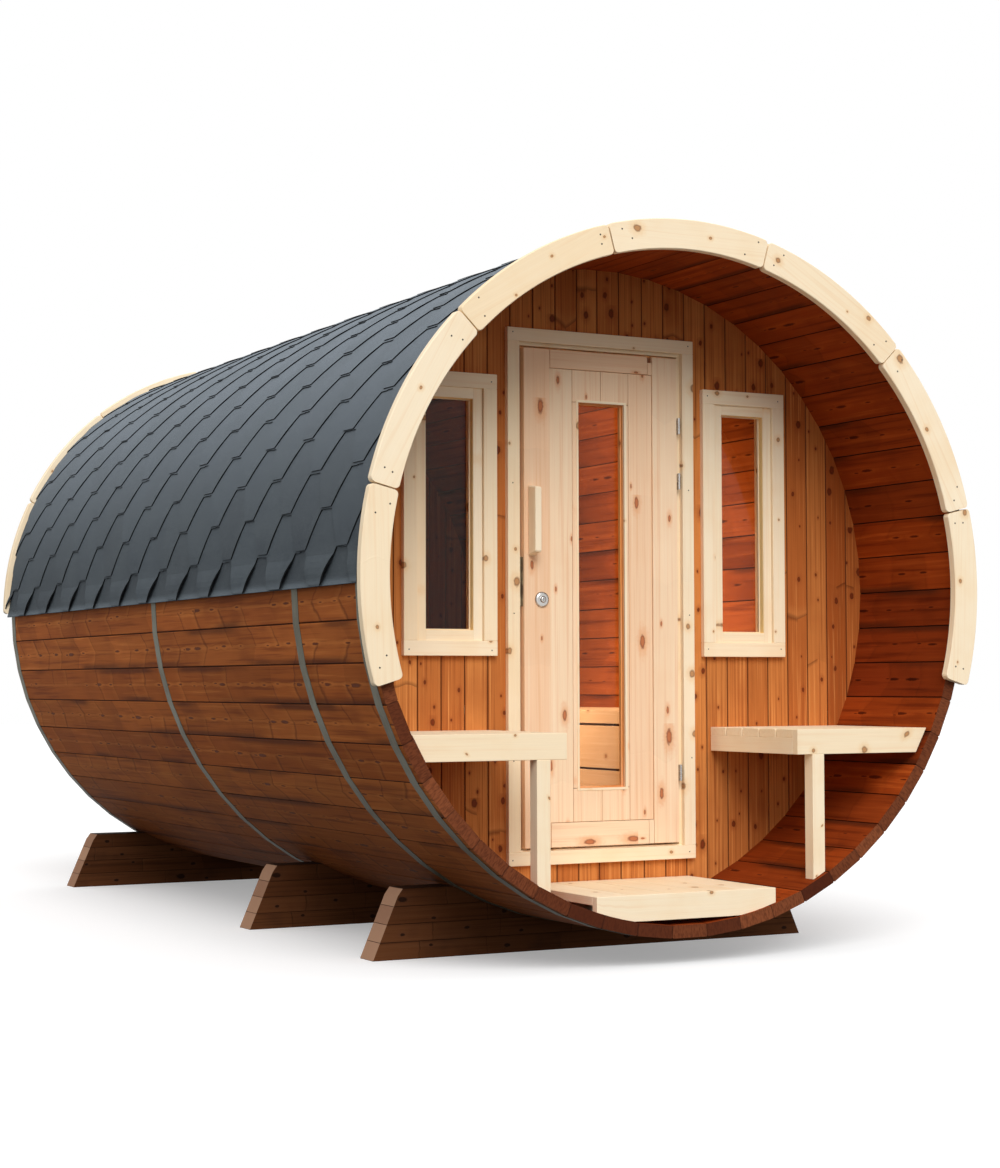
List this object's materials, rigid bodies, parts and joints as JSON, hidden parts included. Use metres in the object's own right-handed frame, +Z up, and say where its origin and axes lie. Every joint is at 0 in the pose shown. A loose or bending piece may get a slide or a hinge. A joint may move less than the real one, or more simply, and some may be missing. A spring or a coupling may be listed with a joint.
{
  "type": "barrel sauna",
  "caption": "Barrel-shaped outdoor sauna of bevelled staves with steel hoops, a shingled upper half, an open porch with benches, and a glazed door that swings outward",
  "frame": {"origin": "on the ground, under the middle of the barrel's length and width", "axes": "+X to the right of someone facing the porch, +Y from the porch to the back end, +Z up"},
  "size_m": [2.262, 3.708, 2.314],
  "materials": {
    "stave_timber": "matt heat-treated",
    "spruce": "planed, untreated",
    "door_pine": "planed, untreated",
    "wall_boards": "planed, heat-treated",
    "cradle_timber": "rough, impregnated",
    "hoop_steel": "dull",
    "shingle": "mineral grit",
    "tinted_glass": "bronze tint",
    "bright_steel": "polished",
    "dark_steel": "dark"
  },
  "bodies": {
    "sauna": {"staves_1": "stave_timber", "staves_2": "stave_timber", "staves_3": "stave_timber", "staves_4": "stave_timber", "staves_5": "stave_timber", "staves_6": "stave_timber", "staves_7": "stave_timber", "staves_8": "stave_timber", "staves_9": "stave_timber", "front_trim_1": "spruce", "front_trim_2": "spruce", "front_trim_3": "spruce", "front_trim_4": "spruce", "front_trim_5": "spruce", "front_trim_6": "spruce", "front_trim_7": "spruce", "back_trim": "spruce", "porch_bench_left": "spruce", "porch_bench_right": "spruce", "porch_deck": "spruce", "sauna_floor": "spruce", "sauna_bench_left": "spruce", "sauna_bench_right": "spruce", "door_jambs": "door_pine", "door_head": "door_pine", "door_sill": "door_pine", "window_frames": "door_pine", "front_wall_left": "wall_boards", "front_wall_right": "wall_boards", "front_wall_over_door": "wall_boards", "front_wall_under_door": "wall_boards", "back_wall": "wall_boards", "cradle_front": "cradle_timber", "cradle_middle": "cradle_timber", "cradle_back": "cradle_timber", "steel_hoops": "hoop_steel", "roof_shingles": "shingle", "window_glass": "tinted_glass", "hinges_on_frame": "bright_steel", "strike_plate": "dark_steel"},
    "door": {"door_leaf": "door_pine", "door_glass": "tinted_glass", "door_grips": "door_pine", "door_lock": "bright_steel", "hinges_on_door": "bright_steel"}
  },
  "joints": [
    {"name": "door_hinge", "type": "hinge", "parent": "sauna", "child": "door", "pos_m": [0.2905, -1.329, 0], "axis": [0, 0, 1], "range_deg": [0, 100]}
  ]
}
